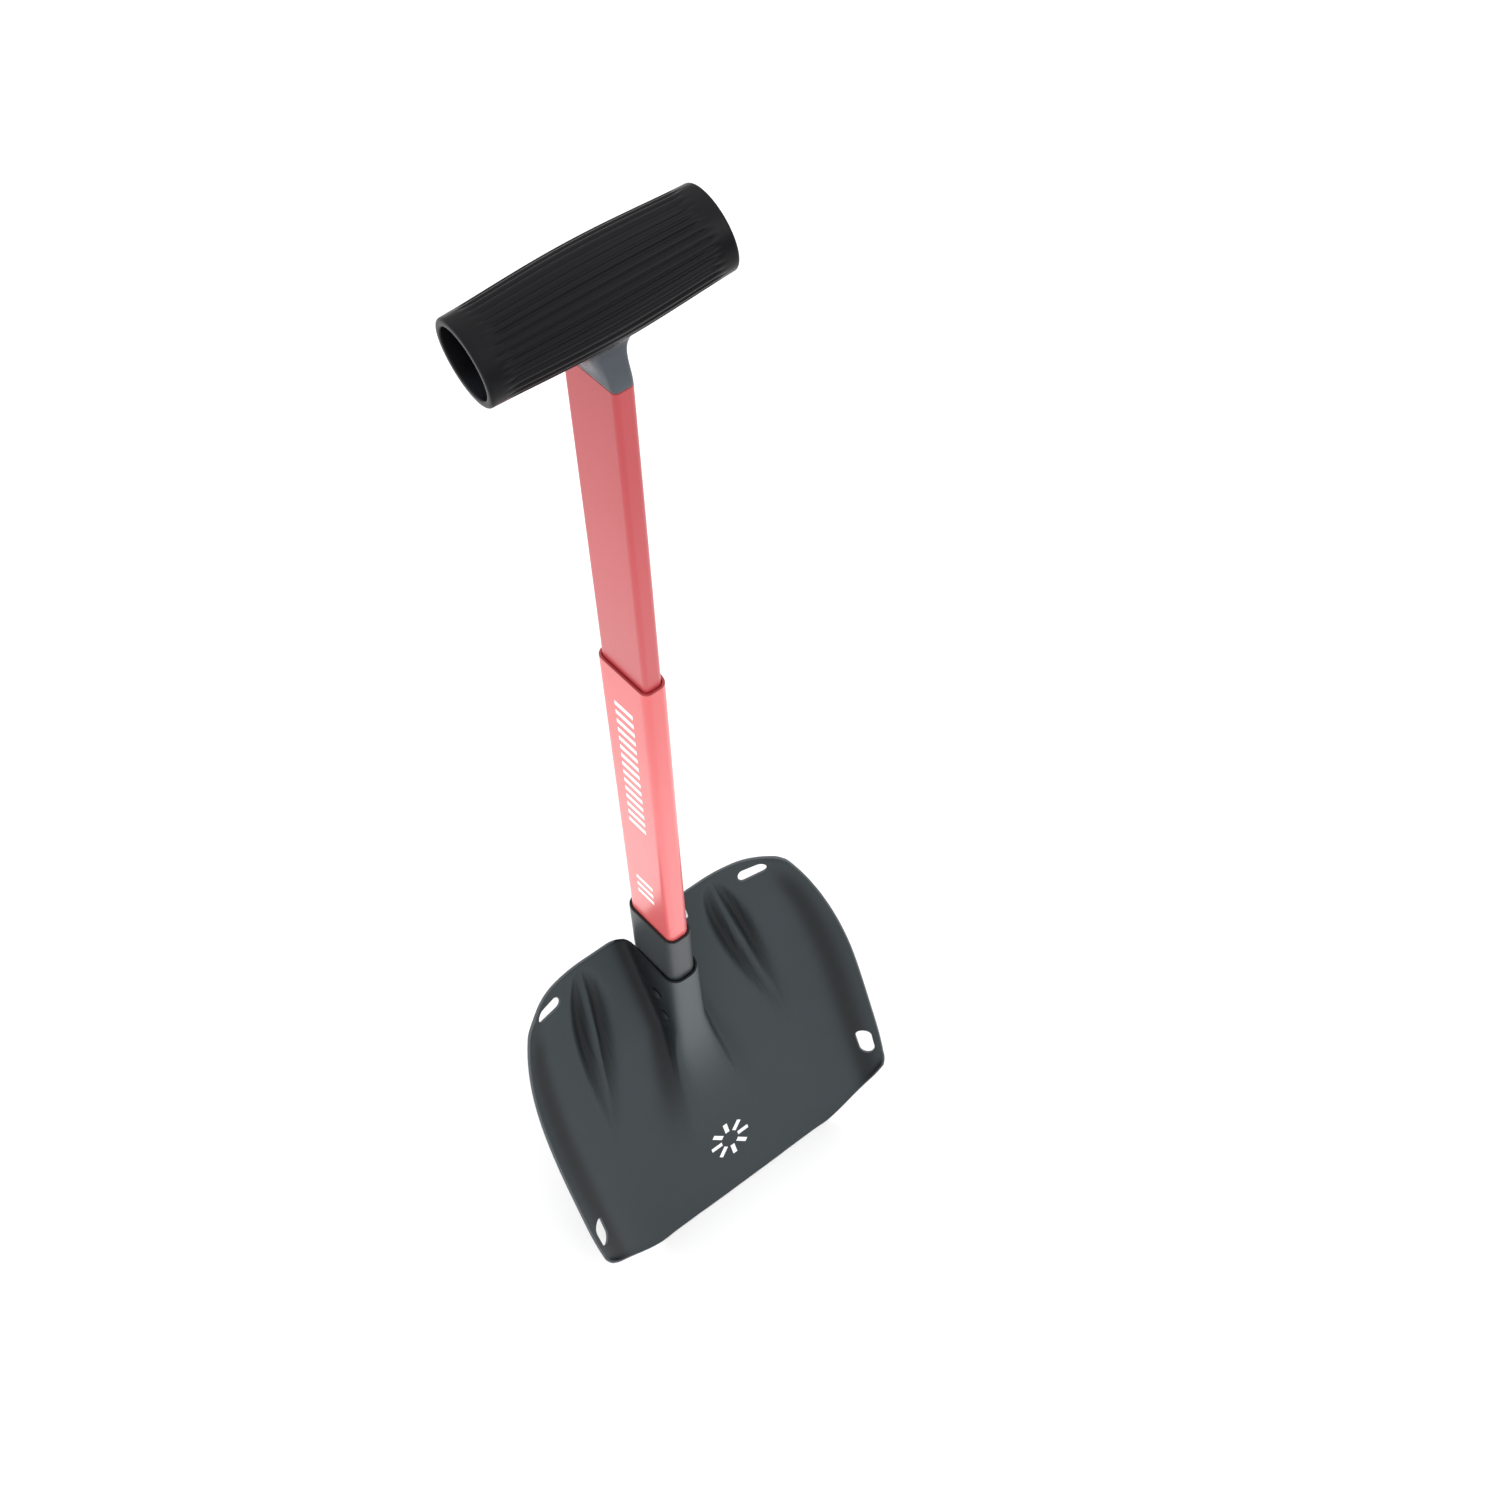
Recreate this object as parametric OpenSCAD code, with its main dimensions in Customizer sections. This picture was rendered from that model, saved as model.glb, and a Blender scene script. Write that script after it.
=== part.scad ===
// Telescoping avalanche shovel with a T-grip, in millimetres.
// The shaft stands along Z, the scoop faces -Y and the blade rests on Z = 0.

/* [Blade] */
// Length of the blade along its slope
blade_length = 252; // [240:1:262]
// Lean of the blade away from the shaft, in degrees
blade_tilt = 22.3; // [20:0.1:24]
// Thickness of the blade sheet
blade_sheet = 1.8; // [1.5:0.1:2]
// Half width of the blade at its widest
blade_half = 114; // [108:0.5:118]
// Height of the rolled side lips above the flat
lip_height = 25; // [20:1:28]
// Depth of the pressed leaf beside each rib
rib_depth = 7; // [4:0.5:8]
// Length of each upper cord slot, end to end
top_slot_length = 18.4; // [14:0.2:19]
// Width of each upper cord slot
top_slot_width = 7.8; // [6:0.2:8.4]
// Length of each lower cord hole, end to end
low_slot_length = 21; // [16:0.2:22]
// Width of each lower cord hole
low_slot_width = 10; // [8:0.2:10.4]

/* [Shaft] */
// Depth of the upper tube, front to back
shaft_depth = 32.6; // [31:0.2:33]
// Width of the upper tube across its front face
shaft_front = 10.6; // [10:0.2:11]
// Width of the upper tube across its back face
shaft_back = 16; // [15:0.2:17]
// Wall thickness of both tubes
tube_wall = 1.5; // [1.2:0.1:1.6]
// Height of the socket collar above the blade
socket_rise = 43.5; // [38:0.5:50]
// Length of the lower tube seen above the socket
sleeve_length = 254.5; // [246:0.5:262]
// Length of the upper tube seen above the lower one
upper_length = 206.5; // [205:0.5:214]
// Telescoping travel between the two lock holes
travel = 180; // [170:1:181]

/* [Lock buttons] */
// Radius of both lock buttons
button_r = 4.4; // [4:0.1:4.8]
// Height the blade button stands out of the socket
blade_button_proud = 4.2; // [3:0.1:4.4]
// Height the length button stands out of the lower tube
length_button_proud = 2.6; // [1.6:0.1:2.8]
// Place of both buttons in front of the shaft's middle
button_front = 2.4; // [0:0.2:5]

/* [Grip] */
// Length of the T-grip barrel
grip_length = 112; // [106:1:118]
// Long half width of the barrel's oval end
grip_half_long = 18.7; // [17.5:0.1:19.5]
// Short half width of the barrel's oval end
grip_half_short = 15; // [14:0.1:16]
// Lean of the oval, rising towards the back, in degrees
grip_lean = 27; // [20:1:32]
// Wall thickness of the barrel at its open ends
grip_wall = 3.4; // [2.8:0.1:3.8]
// Swell of the barrel towards its middle
grip_swell = 2; // [1:0.1:2.6]
// Height of the barrel's axis above the end of the upper tube
grip_rise = 36.5; // [35:0.5:38]

/* [Hidden] */
$fn = 48;

// heights above the floor
blade_top = blade_length * cos(blade_tilt) + blade_sheet * sin(blade_tilt);
socket_top = blade_top + socket_rise;
socket_bottom = blade_top - 74;
sleeve_top = socket_top + sleeve_length;
sleeve_bottom = socket_bottom + 6;
neck_z = sleeve_top + upper_length;
upper_bottom = sleeve_top - 70;
grip_z = neck_z + grip_rise;
blade_lock_z = socket_top - 6.4;
length_lock_z = sleeve_top - 35;

// shaft axis behind the middle of the footprint
shaft_y = 27.4;
blade_back = 22.7;

// trapezoid section: corner centres, then corner radii from the inside out
corner_r = 2.9;
centre_y = shaft_depth / 2 - corner_r;
centre_front = shaft_front / 2 - corner_r;
centre_back = shaft_back / 2 - corner_r;
side_angle = atan((centre_back - centre_front) / (2 * centre_y));
upper_in = corner_r - tube_wall;
lower_in = corner_r + 0.3;
lower_out = lower_in + tube_wall;
socket_in = lower_out + 0.3;
socket_out = socket_in + 1.5;
hump_out = socket_out + 0.15 + blade_sheet;

red = [0.72, 0.13, 0.16];
slate = [0.27, 0.29, 0.3];
black = [0.07, 0.07, 0.08];
steel = [0.75, 0.75, 0.77];

module on_shaft(z) {
    translate([0, shaft_y, z]) children();
}

// rounded trapezoid, narrow side to the front, with corner radius r
module section(r) {
    flat = r - 0.003;
    c = flat * cos(side_angle);
    s = flat * sin(side_angle);
    polygon([[-centre_front, -centre_y - flat], [centre_front, -centre_y - flat],
             [centre_front + c, -centre_y - s], [centre_back + c, centre_y - s],
             [centre_back, centre_y + flat], [-centre_back, centre_y + flat],
             [-centre_back - c, centre_y - s], [-centre_front - c, -centre_y - s]]);
    for (side = [-1, 1]) {
        translate([side * centre_front, -centre_y]) rotate(90 + 90 * side) circle(r);
        translate([side * centre_back, centre_y]) rotate(90 + 90 * side) circle(r);
    }
}

module tube(r_out, r_in, height) {
    difference() {
        linear_extrude(height) section(r_out);
        translate([0, 0, -1]) linear_extrude(height + 2) section(r_in);
    }
}

// round hole through the back wall at height z
module back_hole(r, z) {
    translate([0, 8, z]) rotate([-90, 0, 0]) cylinder(h = 20, r = r);
}

// turns children so that X points out of a side wall (side 1 or -1) at place y, height z
module on_side(side, y, z) {
    reach = centre_front + (centre_back - centre_front) * (y + centre_y) / (2 * centre_y);
    translate([side * reach, y, z]) rotate([0, 0, 90 - 90 * side - side * side_angle]) children();
}

// round hole through the right side wall at height z
module button_hole(r, z) {
    on_side(1, -button_front, z) rotate([0, 90, 0]) cylinder(h = 20, r = r);
}

// ---- blade surface: u across, s down the slope, g up out of the flat ----

function ramp(a, b, x) = let (t = min(max((x - a) / (b - a), 0), 1)) t * t * (3 - 2 * t);
function mix(a, b, t) = a + (b - a) * t;

// half cross-section of the raised tunnel, from its crown out to the flat
hump_u = [0, 0.15, 0.32, 0.5, 0.62, 0.66, 0.69, 0.73, 0.77, 0.825, 0.93, 1.12];
hump_f = [1, 1, 0.985, 0.93, 0.84, 0.72, 0.55, 0.36, 0.18, 0.07, 0.015, 0];
hump_cols = len(hump_u) - 1;
wing_cols = 11;
cols = hump_cols + wing_cols;
rows = 26;

crown = (blade_back + centre_y + hump_out) / cos(blade_tilt);
function hump_half(s) = 17.5 + 0.165 * max(0, s - 80);
function hump_line(s) = crown - s * tan(blade_tilt);
function tongue(s) = 3.5 * (1 - ramp(120, 205, s));
function hump_height(s) =
    let (lift = hump_line(s) - tongue(s))
    tongue(s) + (lift + sqrt(lift * lift + 60)) / 2;

// outline: half width, top edge and bottom edge
function half_width(b) =
    blade_half - 23.8 * pow(1 - min(b / 0.75, 1), 3.6) - 2.4 * pow(max(0, (b - 0.8) / 0.2), 2)
    - 3 * pow(max(0, (b - 0.96) / 0.04), 2) - 3 * pow(max(0, (0.05 - b) / 0.05), 2);
function rim_drop(u) = 4.5 * (1 - ramp(11, 25, u));
function top_edge(a, u) =
    rim_drop(u) + ramp(0.5, 0.75, a) + 3.3 * pow(max(0, (a - 0.72) / 0.28), 2);
function bottom_edge(a) =
    blade_length - 41 * pow(max(0, (a - 0.595) / 0.405), 1.9) - 3 * pow(max(0, (a - 0.93) / 0.07), 2);

// pressed features
function lip(a, b) =
    (0.63 + 0.37 * ramp(0, 0.5, b)) * lip_height * pow(max(0, (a - 0.5) / 0.5), 2.6);
function rib_line(s) = 47 + 22.5 * pow(max(s, 0) / 145, 1.15);
function rib_half(s) =
    s < 3 || s > 152 ? 0 : 15 * sin(180 * pow((s - 3) / 149, 0.62));
function rib(u, s) =
    let (w = rib_half(s),
         r = w > 0.5 ? (u - rib_line(s)) / w : 1,
         q = 1.13 * (sqrt(r * r + 0.015) - 0.1225))
    q < 1 ? -rib_depth * (w / 15) * 6.75 * q * (1 - q) * (1 - q) : 0;

function is_hump(j) = j <= hump_cols;
function wing_t(j) = (j - hump_cols) / wing_cols;
function edge_u(j) = is_hump(j) ? 17.5 * hump_u[j] : mix(19.6, half_width(0), wing_t(j));
function s_start(j) =
    top_edge(edge_u(j) / half_width(0), edge_u(j))
    + (is_hump(j) ? 0.41 * hump_f[j] * hump_height(24 * hump_f[j]) : 0);
function s_end(j) =
    is_hump(j) ? blade_length
               : bottom_edge(mix(1.12 * hump_half(blade_length), half_width(1), wing_t(j)) / half_width(1));

function flat_point(j, b) =
    let (s = mix(s_start(j), s_end(j), b),
         u = is_hump(j) ? hump_half(s) * hump_u[j]
                        : mix(1.12 * hump_half(s), half_width(b), wing_t(j)),
         g = (is_hump(j) ? hump_f[j] * hump_height(s) : 0)
             + rib(u, s) + lip(u / half_width(b), b))
    [u, s, g];

function lift_point(p) =
    [p[0],
     blade_back - p[1] * sin(blade_tilt) - p[2] * cos(blade_tilt),
     blade_top - p[1] * cos(blade_tilt) + p[2] * sin(blade_tilt)];

function surface_point(j, i) =
    let (p = lift_point(flat_point(abs(j), i / rows)))
    [j < 0 ? -p[0] : p[0], p[1], p[2]];

front = [for (i = [0:rows]) [for (j = [-cols:cols]) surface_point(j, i)]];
last = 2 * cols;

// unit vector into the sheet, from the neighbouring surface points
function sheet_dir(i, j) =
    let (across = front[i][min(j + 1, last)] - front[i][max(j - 1, 0)],
         down = front[min(i + 1, rows)][j] - front[max(i - 1, 0)][j],
         n = cross(across, down))
    n / norm(n);

back = [for (i = [0:rows]) [for (j = [0:last]) front[i][j] + blade_sheet * sheet_dir(i, j)]];

function flatten(grid) = [for (line = grid) for (p = line) p];
count = (rows + 1) * (last + 1);
function at(i, j) = i * (last + 1) + j;

sheet_faces = [
    for (i = [0:rows - 1]) for (j = [0:last - 1]) each [
        [at(i, j), at(i, j + 1), at(i + 1, j + 1)],
        [at(i, j), at(i + 1, j + 1), at(i + 1, j)],
        [count + at(i, j), count + at(i + 1, j + 1), count + at(i, j + 1)],
        [count + at(i, j), count + at(i + 1, j), count + at(i + 1, j + 1)]],
    for (j = [0:last - 1]) each [
        [at(0, j), count + at(0, j), count + at(0, j + 1)],
        [at(0, j), count + at(0, j + 1), at(0, j + 1)],
        [at(rows, j), count + at(rows, j + 1), count + at(rows, j)],
        [at(rows, j), at(rows, j + 1), count + at(rows, j + 1)]],
    for (i = [0:rows - 1]) each [
        [at(i, 0), count + at(i + 1, 0), count + at(i, 0)],
        [at(i, 0), at(i + 1, 0), count + at(i + 1, 0)],
        [at(i, last), count + at(i, last), count + at(i + 1, last)],
        [at(i, last), count + at(i + 1, last), at(i + 1, last)]]];

// obround cutter, long side along X, with rounded ends of radius r
module slot_cutter(length, width) {
    reach = length / 2 - width / 2;
    translate([-reach, -width / 2, -7]) cube([2 * reach, width, 14]);
    for (side = [-1, 1])
        translate([side * reach, 0, -7]) cylinder(h = 14, r = width / 2);
}

// places children on the sheet at (u, s, g), Z out of the flat, X across
module on_sheet(u, s, g) {
    p = lift_point([u, s, g]);
    translate(p) rotate([90 - blade_tilt, 0, 0]) children();
}

module cord_holes() {
    on_sheet(74.7, 13.8, 3.8) rotate([0, -20, 0]) rotate([0, 0, 4])
        slot_cutter(top_slot_length, top_slot_width);
    on_sheet(106.2, 188.5, 16.5) rotate([0, -44, 0]) rotate([0, 0, 90])
        slot_cutter(low_slot_length, low_slot_width);
}

// rivet places: side, distance in front of the axis, height under the blade's top edge
rivet_spots = [[-1, -5, 36], [-1, -11, 57], [1, -5, 36], [1, -11, 57]];

module rivet_hole(spot) {
    on_side(spot[0], spot[1], blade_top - spot[2]) translate([socket_in - 2, 0, 0])
        rotate([0, 90, 0]) cylinder(h = 12, r = 2.1);
}

module blade() {
    color(slate) on_shaft(0) difference() {
        polyhedron(concat(flatten(front), flatten(back)), sheet_faces);
        cord_holes();
        mirror([1, 0, 0]) cord_holes();
        for (spot = rivet_spots)
            rivet_hole(spot);
    }
}

module blade_socket() {
    color(black) on_shaft(0) difference() {
        translate([0, 0, socket_bottom]) tube(socket_out, socket_in, socket_top - socket_bottom);
        button_hole(button_r + 0.3, blade_lock_z);
        for (spot = rivet_spots)
            rivet_hole(spot);
    }
}

// flush inner end, domed head on the outside of the tunnel
module socket_rivet(spot) {
    color(steel) on_shaft(0) on_side(spot[0], spot[1], blade_top - spot[2])
            rotate([0, 90, 0]) translate([0, 0, socket_in + 0.1]) {
        cylinder(h = 5.2, r = 2);
        translate([0, 0, 5]) intersection() {
            cylinder(h = 1.5, r = 3.8);
            translate([0, 0, -4.6]) sphere(6);
        }
    }
}
module socket_rivet_1() { socket_rivet(rivet_spots[0]); }
module socket_rivet_2() { socket_rivet(rivet_spots[1]); }
module socket_rivet_3() { socket_rivet(rivet_spots[2]); }
module socket_rivet_4() { socket_rivet(rivet_spots[3]); }

module lower_shaft() {
    color(red) on_shaft(0) difference() {
        translate([0, 0, sleeve_bottom]) tube(lower_out, lower_in, sleeve_top - sleeve_bottom);
        button_hole(button_r + 0.08, blade_lock_z);
        button_hole(button_r + 0.3, length_lock_z);
        button_hole(button_r + 0.3, length_lock_z - travel);
    }
}

// nylon plug pushed up into the lower tube
module lower_shaft_foot() {
    color(black) on_shaft(sleeve_bottom) difference() {
        union() {
            linear_extrude(14) section(lower_in);
            translate([0, 0, -3]) linear_extrude(3) section(lower_out - 0.1);
        }
        translate([0, 0, -4]) linear_extrude(19) section(1);
    }
}

// domed pin; its flange stops inside the wall whose inner face is r from the corner centres
module lock_button(r, proud, z) {
    on_shaft(0) on_side(1, -button_front, z) rotate([0, 90, 0]) translate([0, 0, r]) {
        translate([0, 0, -1.3]) cylinder(h = 1.1, r = button_r + 1);
        translate([0, 0, -0.4]) cylinder(h = proud - 0.8, r = button_r);
        translate([0, 0, proud - 1.2]) intersection() {
            cylinder(h = 1.2, r = button_r);
            translate([0, 0, -10.8]) sphere(12);
        }
    }
}

module blade_lock_button() {
    color(steel) lock_button(lower_in, socket_out - lower_in + blade_button_proud, blade_lock_z);
}

module length_lock_button() {
    color(steel) lock_button(upper_in, lower_out - upper_in + length_button_proud, length_lock_z);
}

// leaf bent like a hairpin behind a button: outer leg at x = outer, legs reach up by leg
module hairpin(outer, inner, leg) {
    r = (outer - inner) / 2;
    on_side(1, -button_front, 0) translate([(outer + inner) / 2, 4, 0])
            rotate([90, 0, 0]) linear_extrude(8) {
        difference() {
            circle(r);
            circle(r - 0.8);
            translate([-r - 1, 0]) square([2 * r + 2, r + 1]);
        }
        translate([-r, 0]) square([0.8, leg]);
        translate([r - 0.8, 0]) square([0.8, leg]);
    }
}

module blade_lock_spring() {
    color(steel) on_shaft(blade_lock_z - 38)
        hairpin(lower_in - 1.6, lower_in - 12, 43);
}

module length_lock_spring() {
    color(steel) on_shaft(length_lock_z + 30) mirror([0, 0, 1])
        hairpin(upper_in - 1.6, upper_in - 8.4, 35);
}

module upper_shaft() {
    color(red) on_shaft(0) difference() {
        translate([0, 0, upper_bottom]) tube(corner_r, upper_in, neck_z - upper_bottom);
        button_hole(button_r + 0.08, length_lock_z);
        for (z = [neck_z - 12, neck_z - 22])
            back_hole(2.05, z);
    }
}

// nylon runner on the lower end of the upper tube
module upper_shaft_guide() {
    color(black) on_shaft(upper_bottom) difference() {
        union() {
            linear_extrude(12) section(upper_in);
            translate([0, 0, -4]) linear_extrude(4) section(corner_r + 0.1);
        }
        translate([0, 0, -5]) linear_extrude(18) section(0.3);
    }
}

// ---- grip ----

grip_turn = 40;
grip_rings = 14;
function barrel_x(i) = grip_length * (i / grip_rings - 0.5);
function barrel_r(i, wall) =
    let (swell = grip_swell * pow(cos(180 * (i / grip_rings - 0.5)), 1.4))
    [grip_half_long + swell - wall, grip_half_short + swell - wall];
function oval(x, r, k) =
    let (p = r[0] * cos(360 * k / grip_turn), q = r[1] * sin(360 * k / grip_turn))
    [x, 2 + p * cos(grip_lean) - q * sin(grip_lean), p * sin(grip_lean) + q * cos(grip_lean)];
function bore_r(gap) = [grip_half_long - grip_wall + gap, grip_half_short - grip_wall + gap];

barrel_points = concat(
    [for (i = [0:grip_rings]) for (k = [0:grip_turn - 1]) oval(barrel_x(i), barrel_r(i, 0), k)],
    [for (i = [0:grip_rings]) for (k = [0:grip_turn - 1])
        oval(barrel_x(i), bore_r(0), k)]);
inner_start = (grip_rings + 1) * grip_turn;
function ring(i, k) = i * grip_turn + k % grip_turn;
barrel_faces = [
    for (i = [0:grip_rings - 1]) for (k = [0:grip_turn - 1]) each [
        [ring(i, k), ring(i + 1, k), ring(i + 1, k + 1)],
        [ring(i, k), ring(i + 1, k + 1), ring(i, k + 1)],
        [inner_start + ring(i, k), inner_start + ring(i + 1, k + 1), inner_start + ring(i + 1, k)],
        [inner_start + ring(i, k), inner_start + ring(i, k + 1), inner_start + ring(i + 1, k + 1)]],
    for (k = [0:grip_turn - 1]) each [
        [ring(0, k), ring(0, k + 1), inner_start + ring(0, k + 1)],
        [ring(0, k), inner_start + ring(0, k + 1), inner_start + ring(0, k)],
        [ring(grip_rings, k), inner_start + ring(grip_rings, k + 1), ring(grip_rings, k + 1)],
        [ring(grip_rings, k), inner_start + ring(grip_rings, k), inner_start + ring(grip_rings, k + 1)]]];

// flared neck: the tube's outline grows wider towards the barrel
neck_turn = 40;
neck_rings = 8;
neck_height = grip_rise - 9;
function neck_flare(t) = 20 * pow(t, 2.8);
function neck_point(k, t) =
    let (a = 360 * k / neck_turn,
         right = cos(a) >= 0 ? 1 : -1,
         rear = sin(a) >= 0 ? 1 : -1,
         cx = right * (rear > 0 ? centre_back : centre_front),
         fit = 1 - 0.3 * pow(t, 3))
    [cx + (corner_r + neck_flare(t)) * cos(a),
     2 * t + fit * (rear * centre_y + corner_r * sin(a)), neck_height * t];
neck_points = [for (i = [0:neck_rings]) for (k = [0:neck_turn - 1]) neck_point(k, i / neck_rings)];
function turn(i, k) = i * neck_turn + k % neck_turn;
neck_faces = [
    for (i = [0:neck_rings - 1]) for (k = [0:neck_turn - 1]) each [
        [turn(i, k), turn(i + 1, k + 1), turn(i, k + 1)],
        [turn(i, k), turn(i + 1, k), turn(i + 1, k + 1)]],
    [for (k = [0:neck_turn - 1]) turn(0, k)],
    [for (k = [neck_turn - 1:-1:0]) turn(neck_rings, k)]];

module grip() {
    color(black) {
        on_shaft(0) difference() {
            union() {
                translate([0, 0, grip_z]) polyhedron(barrel_points, barrel_faces);
                difference() {
                    translate([0, 0, neck_z]) polyhedron(neck_points, neck_faces);
                    translate([0, 0, grip_z]) polyhedron(
                        [for (i = [0:grip_rings]) for (k = [0:grip_turn - 1])
                            oval(barrel_x(i) * 1.02, bore_r(0.5), k)],
                        core_faces);
                }
                translate([0, 0, neck_z - 30]) linear_extrude(31) section(upper_in);
            }
            for (z = [neck_z - 12, neck_z - 22])
                translate([0, 8, z]) rotate([-90, 0, 0]) cylinder(h = 12, r = 2.05);
        }
    }
}

core_faces = [
    for (i = [0:grip_rings - 1]) for (k = [0:grip_turn - 1]) each [
        [ring(i, k), ring(i + 1, k), ring(i + 1, k + 1)],
        [ring(i, k), ring(i + 1, k + 1), ring(i, k + 1)]],
    [for (k = [0:grip_turn - 1]) ring(0, k)],
    [for (k = [grip_turn - 1:-1:0]) ring(grip_rings, k)]];

// blind rivet from the back of the upper tube into the grip's spigot
module grip_rivet(z) {
    color(steel) on_shaft(z) translate([0, 9, 0]) rotate([-90, 0, 0]) {
        cylinder(h = centre_y + corner_r - 8.9, r = 2);
        translate([0, 0, centre_y + corner_r - 9 + 0.02]) intersection() {
            cylinder(h = 1.2, r = 3.6);
            translate([0, 0, -5.2]) sphere(6.4);
        }
    }
}
module grip_rivet_1() { grip_rivet(neck_z - 12); }
module grip_rivet_2() { grip_rivet(neck_z - 22); }

blade();
blade_socket();
socket_rivet_1();
socket_rivet_2();
socket_rivet_3();
socket_rivet_4();
lower_shaft();
lower_shaft_foot();
blade_lock_button();
blade_lock_spring();
upper_shaft();
upper_shaft_guide();
length_lock_button();
length_lock_spring();
grip();
grip_rivet_1();
grip_rivet_2();
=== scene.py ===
import bpy
import bmesh
import math
import numpy as np
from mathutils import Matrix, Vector
from mathutils.geometry import delaunay_2d_cdt


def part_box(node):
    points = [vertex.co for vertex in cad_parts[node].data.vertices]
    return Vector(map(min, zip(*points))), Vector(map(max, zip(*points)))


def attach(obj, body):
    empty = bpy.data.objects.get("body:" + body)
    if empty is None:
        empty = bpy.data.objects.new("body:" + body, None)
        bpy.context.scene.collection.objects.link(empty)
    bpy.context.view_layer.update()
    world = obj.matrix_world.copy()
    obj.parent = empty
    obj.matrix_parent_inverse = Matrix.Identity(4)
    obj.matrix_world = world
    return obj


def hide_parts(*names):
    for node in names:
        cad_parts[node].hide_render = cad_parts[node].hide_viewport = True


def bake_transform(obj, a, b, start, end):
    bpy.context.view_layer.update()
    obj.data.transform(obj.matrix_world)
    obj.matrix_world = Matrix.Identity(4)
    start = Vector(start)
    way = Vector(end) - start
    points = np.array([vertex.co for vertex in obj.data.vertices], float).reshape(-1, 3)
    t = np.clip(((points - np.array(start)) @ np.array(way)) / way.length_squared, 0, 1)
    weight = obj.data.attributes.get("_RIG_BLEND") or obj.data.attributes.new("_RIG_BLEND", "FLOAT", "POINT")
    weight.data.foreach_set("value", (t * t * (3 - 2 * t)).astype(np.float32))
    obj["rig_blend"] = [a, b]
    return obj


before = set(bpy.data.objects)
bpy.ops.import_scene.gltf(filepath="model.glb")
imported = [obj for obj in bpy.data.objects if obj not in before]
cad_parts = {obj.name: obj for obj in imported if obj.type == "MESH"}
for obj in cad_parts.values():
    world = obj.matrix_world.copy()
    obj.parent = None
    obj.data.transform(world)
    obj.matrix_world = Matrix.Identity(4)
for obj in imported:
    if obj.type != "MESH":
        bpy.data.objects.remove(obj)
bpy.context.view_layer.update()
scene = bpy.context.scene
mm = 0.001


def low(node):
    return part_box(node)[0]


def high(node):
    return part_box(node)[1]


def middleHeight(node):
    return (low(node).z + high(node).z) / 2


# heights and the shaft's axis, all taken from the frame
collarTop = high("blade_socket").z
bladeTop = collarTop - 43.5 * mm
sleeveTop = high("lower_shaft").z
neckFoot = high("upper_shaft").z
barrelHeight = neckFoot + 36.5 * mm
shaftY = (low("lower_shaft").y + high("lower_shaft").y) / 2
bladeLockZ = middleHeight("blade_lock_button")
lengthLockZ = middleHeight("length_lock_button")


class Wire:
    # a shader socket that takes plain sums

    def __init__(self, tree, socket=None):
        self.tree = tree
        self.socket = socket

    def make(self, kind, settings=None, values=None, give=0):
        node = self.tree.nodes.new(kind)
        for name, value in (settings or {}).items():
            setattr(node, name, value)
        for name, value in (values or {}).items():
            if isinstance(value, Wire):
                self.tree.links.new(value.socket, node.inputs[name])
            else:
                node.inputs[name].default_value = value
        return Wire(self.tree, node.outputs[give])

    def isWide(self):
        return self.socket.type in ("VECTOR", "RGBA")

    def join(self, how, a, b):
        if not any(isinstance(v, tuple) or isinstance(v, Wire) and v.isWide() for v in (a, b)):
            return self.make("ShaderNodeMath", {"operation": how}, {0: a, 1: b})
        a, b = ((v,) * 3 if isinstance(v, (int, float)) else v for v in (a, b))
        return self.make("ShaderNodeVectorMath", {"operation": how}, {0: a, 1: b})

    def __add__(self, other):
        return self.join("ADD", self, other)

    def __radd__(self, other):
        return self.join("ADD", other, self)

    def __sub__(self, other):
        return self.join("SUBTRACT", self, other)

    def __rsub__(self, other):
        return self.join("SUBTRACT", other, self)

    def __mul__(self, other):
        return self.join("MULTIPLY", self, other)

    def __rmul__(self, other):
        return self.join("MULTIPLY", other, self)

    def __truediv__(self, other):
        return self.join("DIVIDE", self, other)

    def __rtruediv__(self, other):
        return self.join("DIVIDE", other, self)

    def maths(self, how, other=0.0):
        return self.make("ShaderNodeMath", {"operation": how}, {0: self, 1: other})

    def axis(self, letter):
        return self.make("ShaderNodeSeparateXYZ", None, {0: self}, letter)

    def ramp(self, start, end, first=0.0, last=1.0):
        ends = {"From Min": start, "From Max": end, "To Min": first, "To Max": last}
        return self.make("ShaderNodeMapRange", {"interpolation_type": "SMOOTHSTEP"}, {"Value": self, **ends})

    def within(self, start, end, soft=0.1):  # 1 between start and end, 0 outside
        return self.ramp(start - soft, start) * self.ramp(end, end + soft, 1, 0)

    def toNearest(self, pitch):  # distance to the nearest multiple of pitch
        steps = self / pitch
        return (steps - steps.maths("ROUND")).maths("ABSOLUTE") * pitch

    def blend(self, a, b):  # self is the share of b
        return self.make("ShaderNodeMix", {"data_type": "RGBA"}, {0: self, 6: a, 7: b}, 2)

    def noise(self, scale, detail=3.0, rough=0.5, stretch=None):
        spot = self * stretch if stretch else self
        return self.make("ShaderNodeTexNoise", None,
                         {"Vector": spot, "Scale": scale, "Detail": detail, "Roughness": rough})

    def bump(self, strength, distance):
        return self.make("ShaderNodeBump", None,
                         {"Strength": strength, "Distance": distance, "Height": self})

    def layer(self, name):  # a value stored on the mesh
        return self.make("ShaderNodeAttribute", {"attribute_name": name}, None, "Fac")


def newMaterial(name, paint):
    mat = bpy.data.materials.new(name)
    mat.use_nodes = True
    tree = mat.node_tree
    shader = tree.nodes["Principled BSDF"]
    spot = Wire(tree).make("ShaderNodeTexCoord", give="Object")
    for socket, value in paint(spot).items():
        if isinstance(value, Wire):
            tree.links.new(value.socket, shader.inputs[socket])
        else:
            shader.inputs[socket].default_value = value
    return mat


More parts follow.
